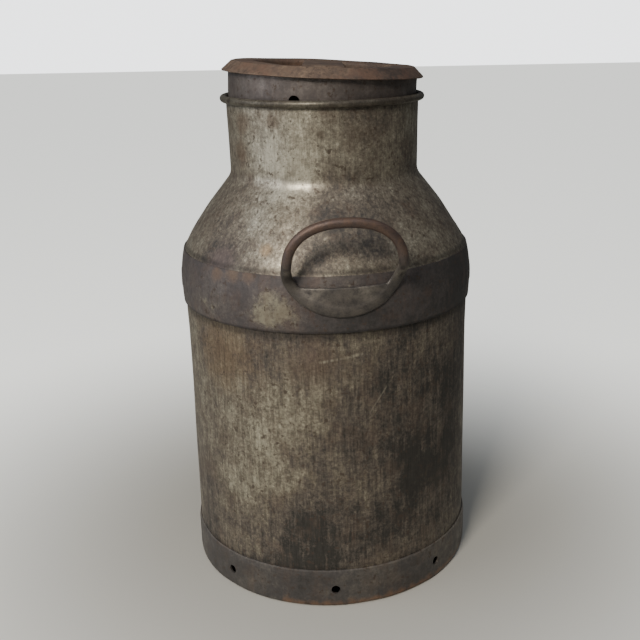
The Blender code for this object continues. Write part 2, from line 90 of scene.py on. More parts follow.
lights_aim = Vector((0, 0, 0.35))
lights = (
    # name, azimuth and elevation from the can, distance, side, watts, colour
    ("key", -29, 35, 2.6, 0.7, 62, "#fff6ea"),
    ("side_window", -80, 22, 2.4, 2.0, 26, "#f3f6ff"),
    ("top_fill", 35, 68, 2.6, 2.2, 14, "#f2f5ff"),
)
for name, azimuth, elevation, distance, side, watts, colour in lights:
    light_data = bpy.data.lights.new(name, "AREA")
    light_data.size = side
    light_data.energy = watts
    light_data.color = linear(colour)[:3]
    light = link_object(name, light_data)
    turn, rise = math.radians(azimuth), math.radians(elevation)
    towards = Vector((math.sin(turn) * math.cos(rise), -math.cos(turn) * math.cos(rise), math.sin(rise)))
    light.location = lights_aim + towards * distance
    light.rotation_mode = "QUATERNION"
    light.rotation_quaternion = towards.to_track_quat("Z", "Y")

world = bpy.data.worlds.new("studio")
world.use_nodes = True
bpy.context.scene.world = world
backdrop = world.node_tree
backdrop.nodes.clear()
seen = add(backdrop, "Background", {"Color": linear("#eef0f2"), "Strength": 3.2})
lit = add(backdrop, "Background", {"Color": linear("#dfe4ea"), "Strength": 0.16})
ray = add(backdrop, "LightPath")
choice = add(backdrop, "MixShader", {0: ray.outputs["Is Camera Ray"], 1: lit.outputs[0], 2: seen.outputs[0]})
add(backdrop, "OutputWorld", {"Surface": choice.outputs[0]})

floor_mesh = bpy.data.meshes.new("studio_floor")
floor_half = 12.0
floor_mesh.from_pydata([(x * floor_half, y * floor_half, 0) for x, y in ((-1, -1), (1, -1), (1, 1), (-1, 1))],
                       [], [(0, 1, 2, 3)])
studio_floor = link_object("studio_floor", floor_mesh)
# Matt floor paint, pale and plain. It glows a little away from the can, for the camera only, so that it
# stays pale far off, and is left darker round the can, as painted shade.
floor_paint = bpy.data.materials.new("painted_studio_floor")
floor_paint.use_nodes = True
paint_tree = floor_paint.node_tree
paint = paint_tree.nodes["Principled BSDF"]
paint.inputs["Base Color"].default_value = linear("#b4b3ab")
paint.inputs["Roughness"].default_value = 0.9
paint.inputs["Emission Color"].default_value = linear("#d9dad6")
to_camera = add(paint_tree, "LightPath")
floor_place = add(paint_tree, "TexCoord").outputs["Object"]
from_can = add(paint_tree, "VectorMath", {0: floor_place}, operation="LENGTH").outputs["Value"]
far_glow = add(paint_tree, "MapRange", {"Value": from_can, "From Min": 0.17, "From Max": 0.9, "To Max": 1.6},
               interpolation_type="SMOOTHSTEP").outputs[0]
glow = add(paint_tree, "Math", {0: to_camera.outputs["Is Camera Ray"], 1: far_glow}, operation="MULTIPLY")
paint_tree.links.new(glow.outputs[0], paint.inputs["Emission Strength"])
floor_mesh.materials.append(floor_paint)


# ---- Body sheet ----
# A cylinder rolled from 1.2 mm sheet steel with one lapped, soldered seam down the back,
# hot-dipped in tin. The tin has worn and oxidised to brown streaks and grey, speckled patches.
body_low, body_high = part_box("body_shell")
body_r = body_high.x
body_gauge = 0.0012
body_dent_reach = (0.050, 0.318)        # the hoops hold the sheet round below and above these heights
seam_half_width = 0.0045
seam_slope = 0.0012
seam_proud = body_high.y - body_r
seam_reach = (0.046, 0.324)
turn_steps = 216


def rounded(corners, facet=math.radians(9)):
    """A profile line through (radius, height, fillet) corners."""
    line = []
    for index, (r, z, fillet) in enumerate(corners):
        here = Vector((r, z))
        if fillet == 0:
            line.append(here)
            continue
        before = (Vector(corners[index - 1][:2]) - here).normalized()
        after = (Vector(corners[index + 1][:2]) - here).normalized()
        half = before.angle(after) / 2
        start = here + before * (fillet / math.tan(half))
        centre = here + (before + after).normalized() * (fillet / math.sin(half))
        swing = (here + after * (fillet / math.tan(half)) - centre).angle_signed(start - centre)
        segments = max(2, round(abs(swing) / facet))
        for step in range(segments + 1):
            arm = start - centre
            arm.rotate(Matrix.Rotation(swing * step / segments, 2))
            line.append(centre + arm)
    return line


def dense(line, step=0.004):
    """The same line with extra points, so that dents have something to bend."""
    fine = [line[0]]
    for first, second in zip(line, line[1:]):
        parts = max(1, math.ceil((second - first).length / step))
        fine += [first.lerp(second, k / parts) for k in range(1, parts + 1)]
    return fine


def set_in(line, distance):
    """The line moved to its right-hand side, which is inwards on a line that runs down."""
    moved = []
    for index, point in enumerate(line):
        arriving = (point - line[index - 1]).normalized() if index else (line[1] - point).normalized()
        leaving = (line[index + 1] - point).normalized() if index < len(line) - 1 else arriving
        normal = Vector((arriving.y + leaving.y, -arriving.x - leaving.x)).normalized()
        moved.append(point + normal * (distance / max(0.5, normal.dot(Vector((arriving.y, -arriving.x))))))
    return moved


def sheet(line, gauge):
    """A closed section: the line, a small step round each edge, and the line set in by the gauge."""
    return line + set_in(line, gauge)[::-1]


def turned(name, section, steps=turn_steps, relief=None, closed=True):
    """A section spun round Z as a new object. relief(azimuth, radius, height) gives a push outwards."""
    bm = bmesh.new()
    rings = []
    for step in range(steps):
        turn = 2 * math.pi * step / steps
        azimuth = (turn + math.pi / 2 + math.pi) % (2 * math.pi) - math.pi
        ring = []
        for r, z in section:
            pushed = r + (relief(azimuth, r, z) if relief and r > 0 else 0.0)
            ring.append(bm.verts.new((pushed * math.cos(turn), pushed * math.sin(turn), z)))
        rings.append(ring)
    count = len(section) if closed else len(section) - 1
    for step in range(steps):
        this, following = rings[step - 1], rings[step]
        for k in range(count):
            after = (k + 1) % len(section)
            bm.faces.new((this[k], following[k], following[after], this[after]))
    bmesh.ops.remove_doubles(bm, verts=bm.verts, dist=1e-6)
    bmesh.ops.recalc_face_normals(bm, faces=bm.faces)
    return finished(name, bm)


def finished(name, bm, sharp=40):
    mesh = bpy.data.meshes.new(name)
    bm.to_mesh(mesh)
    bm.free()
    mesh.shade_smooth()
    mesh.set_sharp_from_angle(angle=math.radians(sharp))
    return link_object(name, mesh)


def hollow(azimuth, height, at_azimuth, at_height, width, tall, depth, r=0.165):
    """One shallow dent: how far in the sheet is pushed here."""
    away = (azimuth - math.radians(at_azimuth) + math.pi) % (2 * math.pi) - math.pi
    across = away * r / width
    along = (height - at_height) / tall
    return -depth * math.exp(-across * across - along * along)


def ripple(azimuth, z, around, along, shift=0.0):
    """Smooth noise over a round piece: around and along set how many waves there are each way."""
    return noise.noise(Vector((math.cos(azimuth) * around, math.sin(azimuth) * around, z * along + shift)))


def held_at_ends(z, low, high, low_fade=0.03, high_fade=0.03):
    """1 well between two heights, falling to 0 at them."""
    return min(1.0, max(0.0, (z - low) / low_fade), max(0.0, (high - z) / high_fade))


body_dents = (
    # azimuth from the front handle in degrees, height, half width, half height, depth
    (-28, 0.130, 0.045, 0.030, 0.0011),
    (14, 0.235, 0.030, 0.055, 0.0008),
    (47, 0.115, 0.025, 0.040, 0.0009),
    (-75, 0.210, 0.040, 0.050, 0.0012),
    (118, 0.170, 0.050, 0.040, 0.0014),
    (-150, 0.100, 0.045, 0.030, 0.0012),
    (160, 0.250, 0.030, 0.030, 0.0008),
)


def body_relief(azimuth, r, z):
    """Rolling waves and knocks, fading out where the hoops hold the sheet round, and the lap of the seam."""
    free = held_at_ends(z, *body_dent_reach)
    wave = (ripple(azimuth, z, 3.2, 9.0) - 0.5) * 0.0007
    dents = sum(hollow(azimuth, z, *dent) for dent in body_dents)
    from_seam = (math.pi - abs(azimuth)) * body_r
    seam = 0.0
    if r > body_r - body_gauge / 2 and seam_reach[0] < z < seam_reach[1]:
        lap = (seam_half_width - from_seam) / seam_slope
        seam = (seam_proud - 0.0002) * min(1.0, max(0.0, lap + 0.5))
    return min(0.0, wave + dents) * free + seam


def near_point(tree, place, point, radius, gain):
    """gain at a point, falling softly to 0 at a distance of radius."""
    away = add(tree, "VectorMath", {0: place, 1: point}, operation="DISTANCE").outputs["Value"]
    inputs = {"Value": away, "From Min": radius, "From Max": radius * 0.2, "To Max": gain}
    return add(tree, "MapRange", inputs, interpolation_type="SMOOTHERSTEP").outputs[0]


def near_segment(tree, place, start, end, reach):
    """1 on a straight line between two points, falling to 0 at a distance of reach."""
    run = Vector(end) - Vector(start)
    from_start = add(tree, "VectorMath", {0: place, 1: start}, operation="SUBTRACT").outputs[0]
    along = add(tree, "VectorMath", {0: from_start, 1: run / run.length_squared}, operation="DOT_PRODUCT")
    share = add(tree, "Clamp", {"Value": along.outputs["Value"]}).outputs[0]
    foot_point = add(tree, "VectorMath", {0: run, "Scale": share}, operation="SCALE").outputs[0]
    away = add(tree, "VectorMath", {0: from_start, 1: foot_point}, operation="DISTANCE").outputs["Value"]
    return add(tree, "MapRange", {"Value": away, "From Min": reach, "From Max": reach * 0.3}).outputs[0]


def weathered_sheet(name, tones, lift=0.0, patches=(), blots=(), scratches=(), dirt_and_edge_highlight=(), stain="#594c41",
                    stains=0.4, stripes=0.9, flecks=0.8, grain=0.22, rough=(0.62, 0.44), metal=(0.35, 0.65)):
    """Old sheet steel: four tones, from bare oxide to what is left of a bright coat, in clouds and speckle.

    lift moves the whole sheet along the tones, patches are places (point, radius, gain) that differ from it,
    some in the sheet's own tone and some as painted shade and painted highlights, blots are places
    (point, radius, colour, strength) with a colour of their own, scratches are bright lines
    (start, end, reach, strength), and the last are heights (z, reach, factor) where dirt has gathered at a
    seam, or, with a factor over 1, where an edge is rubbed bright and carries a painted highlight.
    """
    made = bpy.data.materials.new(name)
    made.use_nodes = True
    tree = made.node_tree
    shader = tree.nodes["Principled BSDF"]
    place = add(tree, "TexCoord").outputs["Object"]
    down = add(tree, "Mapping", {"Vector": place, "Scale": (1.0, 1.0, 0.10)}).outputs[0]

    def noise_of(size, vector=place, detail=4.0, roughness=0.65):
        inputs = {"Vector": vector, "Scale": 1 / size, "Detail": detail, "Roughness": roughness}
        return add(tree, "TexNoise", inputs).outputs[0]

    # Clouds of 90 mm, mottling of 13 mm, runs 5 mm and 2.2 mm wide and ten times as tall. The speckle of worn
    # tin is finer than 1 mm on the real sheet, and is drawn at 3.4 mm so that it shows.
    cloud = noise_of(0.090)
    mottle = noise_of(0.013, roughness=0.75)
    run = noise_of(0.005, down, roughness=0.7)
    thread = noise_of(0.0022, down, detail=2.0)
    speckle = noise_of(0.0034, detail=4.0, roughness=0.8)

    layers = ((cloud, 1.3), (mottle, 0.9), (run, stripes), (speckle, flecks))
    tone = 0.5 + lift - 0.5 * sum(weight for _, weight in layers)
    for layer, weight in layers:
        tone = add(tree, "Math", {0: layer, 1: weight, 2: tone}, operation="MULTIPLY_ADD").outputs[0]
    for point, radius, gain in patches:
        near = near_point(tree, place, point, radius, gain)
        tone = add(tree, "Math", {0: tone, 1: near}, operation="ADD").outputs[0]
    ramp = add(tree, "ValToRGB", {0: tone})
    stops = ramp.color_ramp.elements
    for _ in tones[2:]:
        stops.new(0.5)
    for stop, (position, hex_colour) in zip(stops, tones):
        stop.position = position
        stop.color = linear(hex_colour)
    colour = ramp.outputs[0]

    # Brown stain in blots of 30 mm, broken up by the runs.
    blot = noise_of(0.030)
    blot = add(tree, "Math", {0: run, 1: 0.5, 2: blot}, operation="MULTIPLY_ADD").outputs[0]
    blot = add(tree, "MapRange", {"Value": blot, "From Min": 0.72, "From Max": 0.92, "To Max": stains},
               interpolation_type="SMOOTHSTEP").outputs[0]
    colour = add(tree, "Mix", {0: blot, 6: colour, 7: linear(stain)}, data_type="RGBA").outputs[2]

    for point, radius, own_colour, strength in blots:
        far = add(tree, "VectorMath", {0: place, 1: point}, operation="DISTANCE").outputs["Value"]
        far = add(tree, "Math", {0: mottle, 1: -1.5 * radius, 2: far}, operation="MULTIPLY_ADD").outputs[0]
        near = add(tree, "MapRange", {"Value": far, "From Min": radius * 0.25, "From Max": -radius * 0.5,
                                      "To Max": strength}, interpolation_type="SMOOTHSTEP").outputs[0]
        colour = add(tree, "Mix", {0: near, 6: colour, 7: linear(own_colour)}, data_type="RGBA").outputs[2]

    # Speckle and threads change how light each spot is, and brown pits of 6 mm and less stand out.
    for layer, depth in ((speckle, grain), (thread, grain * stripes)):
        inputs = {"Value": layer, "From Min": 0.34, "From Max": 0.66}
        inputs |= {"To Min": 1 - depth, "To Max": 1 + depth}
        shade = add(tree, "MapRange", inputs, clamp=False).outputs[0]
        colour = add(tree, "VectorMath", {0: colour, "Scale": shade}, operation="SCALE").outputs[0]
    inputs = {"Value": noise_of(0.0060, detail=2.0), "From Min": 0.40, "From Max": 0.31, "To Max": 0.75}
    pits = add(tree, "MapRange", inputs).outputs[0]
    colour = add(tree, "Mix", {0: pits, 6: colour, 7: linear("#463a31")}, data_type="RGBA").outputs[2]

    height = add(tree, "SeparateXYZ", {0: place}).outputs["Z"]
    for z, reach, factor in dirt_and_edge_highlight:
        gap = add(tree, "Math", {0: height, 1: z}, operation="SUBTRACT").outputs[0]
        gap = add(tree, "Math", {0: gap}, operation="ABSOLUTE").outputs[0]
        gap = add(tree, "Math", {0: mottle, 1: -reach, 2: gap}, operation="MULTIPLY_ADD").outputs[0]
        inputs = {"Value": gap, "From Min": -reach * 0.4, "From Max": reach * 0.6, "To Min": factor}
        clean = add(tree, "MapRange", inputs, interpolation_type="SMOOTHSTEP").outputs[0]
        colour = add(tree, "VectorMath", {0: colour, "Scale": clean}, operation="SCALE").outputs[0]
    for start, end, reach, strength in scratches:
        mark = near_segment(tree, place, start, end, reach)
        inputs = {"Value": thread, "From Min": 0.35, "From Max": 0.6, "To Max": strength}
        broken = add(tree, "MapRange", inputs).outputs[0]
        mark = add(tree, "Math", {0: mark, 1: broken}, operation="MULTIPLY").outputs[0]
        colour = add(tree, "Mix", {0: mark, 6: colour, 7: linear(tones[-1][1])}, data_type="RGBA").outputs[2]
    tree.links.new(colour, shader.inputs["Base Color"])

    gloss = add(tree, "MapRange", {"Value": tone, "From Min": 0.25, "From Max": 0.85, "To Min": rough[0],
                                   "To Max": rough[1]}).outputs[0]
    gloss = add(tree, "Math", {0: speckle, 1: 0.25, 2: gloss}, operation="MULTIPLY_ADD").outputs[0]
    gloss = add(tree, "Math", {0: gloss, 1: 0.125}, operation="SUBTRACT").outputs[0]
    tree.links.new(gloss, shader.inputs["Roughness"])
    shine = add(tree, "MapRange", {"Value": tone, "From Min": 0.3, "From Max": 0.8, "To Min": metal[0],
                                   "To Max": metal[1]}).outputs[0]
    tree.links.new(shine, shader.inputs["Metallic"])

    skin = add(tree, "Math", {0: mottle, 1: 1.2, 2: speckle}, operation="MULTIPLY_ADD").outputs[0]
    bump = add(tree, "Bump", {"Strength": 0.5, "Distance": 0.0003, "Height": skin}).outputs[0]
    tree.links.new(bump, shader.inputs["Normal"])
    return made


def on_can(azimuth, height, radius=0.165):
    """A point on the can, with the azimuth in degrees from the front handle towards +X."""
    turn = math.radians(azimuth)
    return (radius * math.sin(turn), -radius * math.cos(turn), height)


body_line = dense([Vector((body_r, body_high.z)), Vector((body_r, body_low.z))])
body_sheet = turned("body_sheet", sheet(body_line, body_gauge), relief=body_relief)
# Hot-dipped tin, decades old: a dull, pale, half-metallic grey where it is left, streaked by what ran down
# it, and brown-grey oxide where it has gone. It is painted darker low down and round the right side, as
# painted shade where the light falls off.
body_sheet.data.materials.append(weathered_sheet(
    "aged_tinned_steel_body",
    tones=((0.12, "#35332f"), (0.40, "#59524a"), (0.62, "#736c5e"), (0.95, "#a09b89")),
    # The dark patches low down and round the right side are painted shade.
    patches=((on_can(-38, 0.160), 0.10, 0.20), (on_can(-18, 0.245), 0.075, 0.14),
             (on_can(-32, 0.215), 0.10, 0.10), (on_can(30, 0.200), 0.13, -0.16),
             (on_can(45, 0.110), 0.13, -0.24), (on_can(45, 0.290), 0.12, -0.12),
             (on_can(0, 0.100), 0.12, -0.18), (on_can(-24, 0.070), 0.10, -0.22),
             (on_can(-65, 0.080), 0.08, -0.14), (on_can(150, 0.190), 0.10, 0.20)),
    blots=((on_can(-50, 0.290), 0.060, "#6b573f", 0.5), (on_can(-12, 0.290), 0.040, "#5b4c43", 0.5)),
    scratches=((on_can(-9, 0.292), on_can(6, 0.299), 0.0022, 0.7),
               (on_can(18, 0.268), on_can(9, 0.232), 0.0014, 0.5)),
    dirt_and_edge_highlight=((0.321, 0.008, 0.55), (0.047, 0.005, 0.8))))
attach(body_sheet, "can")
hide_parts("body_shell")


# ---- Bottom ----
# A shallow dished pan of 1.5 mm sheet, set up inside the foot and soldered by its skirt.
bottom_low, bottom_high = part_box("bottom_pan")
bottom_r = bottom_high.x
bottom_gauge = 0.0015
bottom_rise, bottom_dish, bottom_knuckle = 0.0525, 0.0050, 0.010
bottom_line = dense(rounded([
    (0.0, bottom_rise - bottom_dish, 0),
    (bottom_r, bottom_rise, bottom_knuckle),
    (bottom_r, bottom_low.z, 0),
]), 0.008)
bottom_under = set_in(bottom_line, bottom_gauge)
bottom_under[0].x = 0.0
bottom_sheet = turned("bottom_sheet", bottom_line + bottom_under[::-1], steps=144, closed=False)
# The same old tin without runs, since the pan lies flat: blotched with brown where wet has stood.
bottom_sheet.data.materials.append(weathered_sheet(
    "aged_tinned_steel_bottom", stripes=0.0, stains=0.7,
    tones=((0.15, "#443e38"), (0.42, "#665a4b"), (0.62, "#7d7465"), (0.90, "#9c9584"))))
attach(bottom_sheet, "can")
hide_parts("bottom_pan")


# ---- Foot hoop ----
# A heavy 2.3 mm hoop sweated over the body's lower end and turned in underneath to stand on,
# with eight drain holes. It is dark and scuffed, and rusts where it meets the floor.
foot_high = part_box("foot_hoop")[1]
foot_r = foot_high.x
foot_gauge = 0.0023
foot_flange = 0.0145
foot_corner = 0.0045
foot_dressed, foot_dressed_h = 0.0013, 0.0070       # the upper edge is hammered in towards the body
vent_count = 8
vent_r = 0.0050
vent_height = 0.0219
vent_phase = -5.4


def foot_relief(azimuth, r, z):
    """Long shallow flats, knocked in."""
    return min(0.0, (ripple(azimuth, z, 4.0, 14.0) - 0.35) * 0.0009)


def cut(target, tools):
    """Cuts a mesh of tools from the target for good and deletes it."""
    boolean = target.modifiers.new("cut", "BOOLEAN")
    boolean.operation = "DIFFERENCE"
    boolean.solver = "EXACT"
    boolean.object = tools
    settled(target)
    bpy.data.objects.remove(tools)


def settled(target, sharp=40):
    """Applies all the modifiers."""
    graph = bpy.context.evaluated_depsgraph_get()
    mesh = bpy.data.meshes.new_from_object(target.evaluated_get(graph))
    target.modifiers.clear()
    old = target.data
    target.data = mesh
    mesh.name = target.name
    bpy.data.meshes.remove(old)
    mesh.shade_smooth()
    mesh.set_sharp_from_angle(angle=math.radians(sharp))


def radial_pins(name, places, radius, inner, outer, sides=32):
    """Separate cylinders that point out of the can at (azimuth in degrees, height) places."""
    bm = bmesh.new()
    for azimuth, z in places:
        out = Vector(on_can(azimuth, 0.0, 1.0))
        frame_there = Matrix.Translation(out * (inner + outer) / 2 + Vector((0, 0, z)))
        frame_there @= out.to_track_quat("Z", "Y").to_matrix().to_4x4()
        bmesh.ops.create_cone(bm, cap_ends=True, segments=sides, radius1=radius, radius2=radius,
                              depth=outer - inner, matrix=frame_there)
    return finished(name, bm)


foot_turn_in = [(foot_r, 0.0, foot_corner), (foot_r - foot_flange, 0.0, 0)]
foot_line = dense(rounded([
    (foot_r - foot_dressed, foot_high.z, 0),
    (foot_r, foot_high.z - foot_dressed_h, 0.010),
    *foot_turn_in,
]), 0.003)
foot_back = set_in(dense(rounded([(foot_r, foot_high.z, 0), *foot_turn_in]), 0.003), foot_gauge)
foot = turned("foot_band", foot_line + foot_back[::-1], relief=foot_relief)
vents = [(vent_phase + 360 * k / vent_count, vent_height) for k in range(vent_count)]
cut(foot, radial_pins("vent_drills", vents, vent_r, foot_r - 0.01, foot_r + 0.005))
foot.data.materials.clear()
# Mild steel under a hard, dark oxide: smooth and leaden, rubbed bright along its upper edge, which also
# carries a painted highlight, with orange rust coming through where it stands on the floor.
foot.data.materials.append(weathered_sheet(
    "oxidised_foot_steel", stain="#5a4b40", stains=0.3, stripes=0.2, flecks=0.35, grain=0.12,
    rough=(0.60, 0.46),
    tones=((0.15, "#3b3937"), (0.45, "#4c4947"), (0.65, "#5f5b56"), (0.92, "#807a70")),
    blots=tuple((on_can(azimuth, 0.001), 0.011, "#7e614b", 0.7) for azimuth in range(-24, 70, 5)),
    dirt_and_edge_highlight=((0.0448, 0.0016, 1.45),)))
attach(foot, "can")
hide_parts("foot_hoop")


# ---- Breast and neck ----
# One drawn sheet from the breast hoop to the mouth: a rounded cone, a tight throat and a neck that
# opens slightly upwards, with its top edge curled out over the rim wire.
breast_low, breast_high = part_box("breast_neck")
neck_gauge = 0.0012
neck_top_r = 0.1075
rim_wire_r = 0.0024
wire_gap = 0.0003
curl_r = rim_wire_r + wire_gap
rim_z = breast_high.z - curl_r - neck_gauge
curl_end = math.radians(-118)
throat_r, throat_z, throat_bend = 0.1063, 0.4653, 0.018
shoulder_z, shoulder_bend = 0.3790, 0.025
knee_bend = 0.150
breast_dent_reach = (0.385, 0.535)
breast_corners = [
    (neck_top_r, rim_z, 0),
    (throat_r, throat_z, throat_bend),
    (0.1342, 0.4303, knee_bend),
    (0.1546, 0.4003, knee_bend),
    (body_r, shoulder_z, shoulder_bend),
    (body_r, breast_low.z, 0),
]
breast_dents = (
    # as for the body
    (-52, 0.418, 0.035, 0.020, 0.0009),
    (30, 0.440, 0.030, 0.018, 0.0007),
    (85, 0.405, 0.035, 0.020, 0.0010),
    (-130, 0.425, 0.040, 0.020, 0.0011),
)


def breast_relief(azimuth, r, z):
    """Waves and knocks between the hoop and the curl."""
    wave = (ripple(azimuth, z, 3.0, 11.0, 4.0) - 0.5) * 0.0007
    dents = sum(hollow(azimuth, z, *dent) for dent in breast_dents)
    return min(0.0, wave + dents) * held_at_ends(z, *breast_dent_reach, 0.02, 0.03)


def arc(centre_r, centre_z, radius, start, end, segments):
    """Points of a profile on part of a circle."""
    turns = [start + (end - start) * step / segments for step in range(segments + 1)]
    return [Vector((centre_r + radius * math.cos(a), centre_z + radius * math.sin(a))) for a in turns]


curl = arc(neck_top_r + curl_r, rim_z, curl_r, curl_end, math.pi, 26)
breast_sheet = turned("breast_and_neck", sheet(curl[:-1] + dense(rounded(breast_corners)), neck_gauge),
                      relief=breast_relief)
# Tin again, better kept than on the body, and smoother where hands and cloths have rubbed it: it takes a
# soft glint at the throat and keeps its brightest patches on the neck and shoulder.
breast_sheet.data.materials.append(weathered_sheet(
    "aged_tinned_steel_breast", lift=0.06, stripes=0.7, flecks=0.7, rough=(0.60, 0.38), metal=(0.40, 0.72),
    tones=((0.12, "#3d3a37"), (0.40, "#60594f"), (0.62, "#807a6c"), (0.95, "#b2ad9c")),
    # Painted light among these patches: the bright one left of the front handle's left leg is a painted
    # highlight, the dark ones inside the handle's loop are its painted shadow, and the dark one on the right
    # of the neck is painted shade.
    patches=((on_can(-26, 0.505, 0.107), 0.070, 0.22), (on_can(-20, 0.467, 0.110), 0.040, 0.22),
             (on_can(-30, 0.440, 0.132), 0.060, 0.10), (on_can(-28, 0.398, 0.155), 0.032, 0.24),
             (on_can(-11, 0.396, 0.157), 0.030, -0.14), (on_can(-45, 0.500, 0.107), 0.045, 0.08),
             (on_can(-55, 0.386, 0.160), 0.050, -0.20), (on_can(12, 0.440, 0.135), 0.075, -0.18),
             (on_can(52, 0.420, 0.140), 0.080, 0.04), (on_can(50, 0.500, 0.107), 0.090, -0.12),
             (on_can(2, 0.415, 0.145), 0.065, -0.20), (on_can(170, 0.430, 0.130), 0.090, 0.20)),
    blots=((on_can(-60, 0.525, 0.107), 0.018, "#64503f", 0.6),
           (on_can(-62, 0.495, 0.107), 0.020, "#64503f", 0.6),
           (on_can(-35, 0.530, 0.107), 0.012, "#5e5044", 0.6),
           (on_can(-8, 0.518, 0.107), 0.008, "#4f4439", 0.7),
           (on_can(-50, 0.388, 0.160), 0.030, "#5b504d", 0.8),
           (on_can(-30, 0.405, 0.150), 0.010, "#8a7355", 0.6)),
    dirt_and_edge_highlight=((rim_z, 0.0075, 0.42), (0.3865, 0.004, 0.55))))
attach(breast_sheet, "can")
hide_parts("breast_neck")


# ---- Rim wire ----
# The wire that the mouth is curled over: 4.8 mm mild steel rod, seen only in the slit under the curl,
# where it is dark brown and dull.
rod_section = arc(neck_top_r + curl_r, rim_z, rim_wire_r, 0, -2 * math.pi, 16)[:-1]
wire_ring = turned("rim_rod", rod_section, steps=144)
wire_ring.data.materials.append(weathered_sheet(
    "oxidised_steel_rod", stripes=0.0,
    tones=((0.15, "#37322e"), (0.45, "#4a433d"), (0.65, "#574f47"), (0.92, "#7a7266"))))
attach(wire_ring, "can")
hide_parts("rim_wire")


# ---- Breast hoop ----
# A crowned band pressed from sheet and sweated over the joint of body and breast. Each side between
# the handles carries a plain pressed row of upright beads.
hoop_low, hoop_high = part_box("breast_hoop")
bead_proud = 0.0005
crown_r = hoop_high.x - bead_proud
crown_z = 0.3480
hoop_edge_r = 0.1675
hoop_lip = 0.0010
bead_pitch = 5.2
bead_first, bead_last = 40.0, 140.0
bead_z, bead_half_height, bead_half_width = 0.3500, 0.0095, 0.0024
breast_outer = rounded(breast_corners)
sweat_gap = 0.0003
hoop_back = set_in(breast_outer, -sweat_gap)
hoop_inner = [p for p in hoop_back if hoop_low.z < p.y < hoop_high.z]
above = [p for p in hoop_back if p.y >= hoop_high.z][-1]
hoop_inner.insert(0, above.lerp(hoop_inner[0], (above.y - hoop_high.z) / (above.y - hoop_inner[0].y)))
hoop_inner.append(Vector((body_r + sweat_gap, hoop_low.z)))
hoop_top_r = hoop_inner[0].x + hoop_lip


def hoop_radius(z):
    """The crowned outer face: two parabolas that meet at the crown."""
    if z < crown_z:
        return crown_r - (crown_r - hoop_edge_r) * ((crown_z - z) / (crown_z - hoop_low.z)) ** 2
    return crown_r - (crown_r - hoop_top_r) * ((z - crown_z) / (hoop_high.z - crown_z)) ** 2


def hoop_relief(azimuth, r, z):
    """The row of beads, on the outer face only."""
    side = abs(math.degrees(azimuth))
    if r < hoop_radius(z) - 0.0004 or not bead_first < side < bead_last:
        return 0.0
    across = ((side - bead_first) % bead_pitch - bead_pitch / 2) * math.pi / 180 * crown_r
    along = max(0.0, abs(z - bead_z) - bead_half_height + bead_half_width)
    inside = 1.0 - math.hypot(across, along) / bead_half_width
    return bead_proud * min(1.0, max(0.0, inside * 2.2))


hoop_rows = 40
hoop_heights = [hoop_high.z + (hoop_low.z - hoop_high.z) * k / hoop_rows for k in range(hoop_rows + 1)]
hoop_line = [Vector((hoop_radius(z), z)) for z in hoop_heights]
hoop_band = turned("breast_band", hoop_line + hoop_inner[::-1], steps=720, relief=hoop_relief)
# Steel whose tin has nearly all gone: purple-brown oxide with a low, even shine, one island of tin left
# beside the front handle, and orange rust along the upper edge on the left.
hoop_band.data.materials.append(weathered_sheet(
    "oxidised_hoop_steel", stain="#5b483d", stains=0.3, stripes=0.2, flecks=0.5, grain=0.12,
    rough=(0.58, 0.44),
    tones=((0.15, "#383635"), (0.50, "#4f4a49"), (0.75, "#645e5a"), (1.0, "#8f8a79")),
    # The dark patch round the right side is painted shade.
    patches=((on_can(-27, 0.346), 0.040, 0.52), (on_can(-16, 0.338), 0.024, 0.25),
             (on_can(55, 0.350), 0.11, -0.32), (on_can(8, 0.335), 0.05, -0.25)),
    blots=((on_can(-42, 0.380), 0.013, "#75604b", 0.5), (on_can(-50, 0.377), 0.011, "#705b48", 0.5),
           (on_can(-35, 0.381), 0.010, "#705b48", 0.4)),
    dirt_and_edge_highlight=((0.3245, 0.003, 0.5),)))
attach(hoop_band, "can")
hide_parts("breast_hoop")


# ---- Handles ----
# Drop-forged iron: a round 10 mm bar bent to an oval loop, its lower half hammered down to a rim
# round a thin plate that is curved to the hoop, riveted through it and tinned over.
bar_r = 0.0053
loop_w, loop_h = 0.1278, 0.1089
loop_lean = math.radians(10)
loop_squareness = 2.35
plate_z0, plate_z1 = 0.3413, 0.3727
plate_t = 0.0030
rim_half_t, rim_half_w, rim_sink = 0.0024, 0.0071, 0.0010
flatten_z0, flatten_z1 = 0.3660, 0.4050
loop_half_w = loop_w / 2 - bar_r
loop_half_rise = (loop_h / 2 - bar_r) * math.cos(loop_lean)
loop_half_fall = (loop_h / 2 - rim_half_w) * math.cos(loop_lean)
loop_middle_z = plate_z0 + loop_h / 2 * math.cos(loop_lean)


def smooth_step(value, low, high):
    share = min(1.0, max(0.0, (value - low) / (high - low)))
    return share * share * (3 - 2 * share)


def loop_oval(turn):
    """Centre line of the loop as (across, height): an ellipse below its middle, squarer above it."""
    across, upwards = math.sin(turn), -math.cos(turn)
    if upwards < 0:
        return loop_half_w * across, loop_middle_z + loop_half_fall * upwards
    power = 2 / loop_squareness
    return (math.copysign(loop_half_w * abs(across) ** power, across),
            loop_middle_z + loop_half_rise * upwards ** power)


def loop_point(turn):
    """Centre of the bar in space, and how free it is of the hoop: 0 on the plate's rim, 1 on the bar."""
    across, height = loop_oval(turn)
    free = smooth_step(height, flatten_z0, flatten_z1)
    foot_r_here = hoop_radius(plate_z0) + rim_half_t - rim_sink
    seat_r = foot_r_here + hoop_radius(min(height, hoop_high.z)) - hoop_radius(plate_z0)
    seated = math.sqrt(seat_r ** 2 - across ** 2)
    standing = foot_r_here + (height - plate_z0) * math.tan(loop_lean)
    return Vector((across, -seated - (standing - seated) * free, height)), free


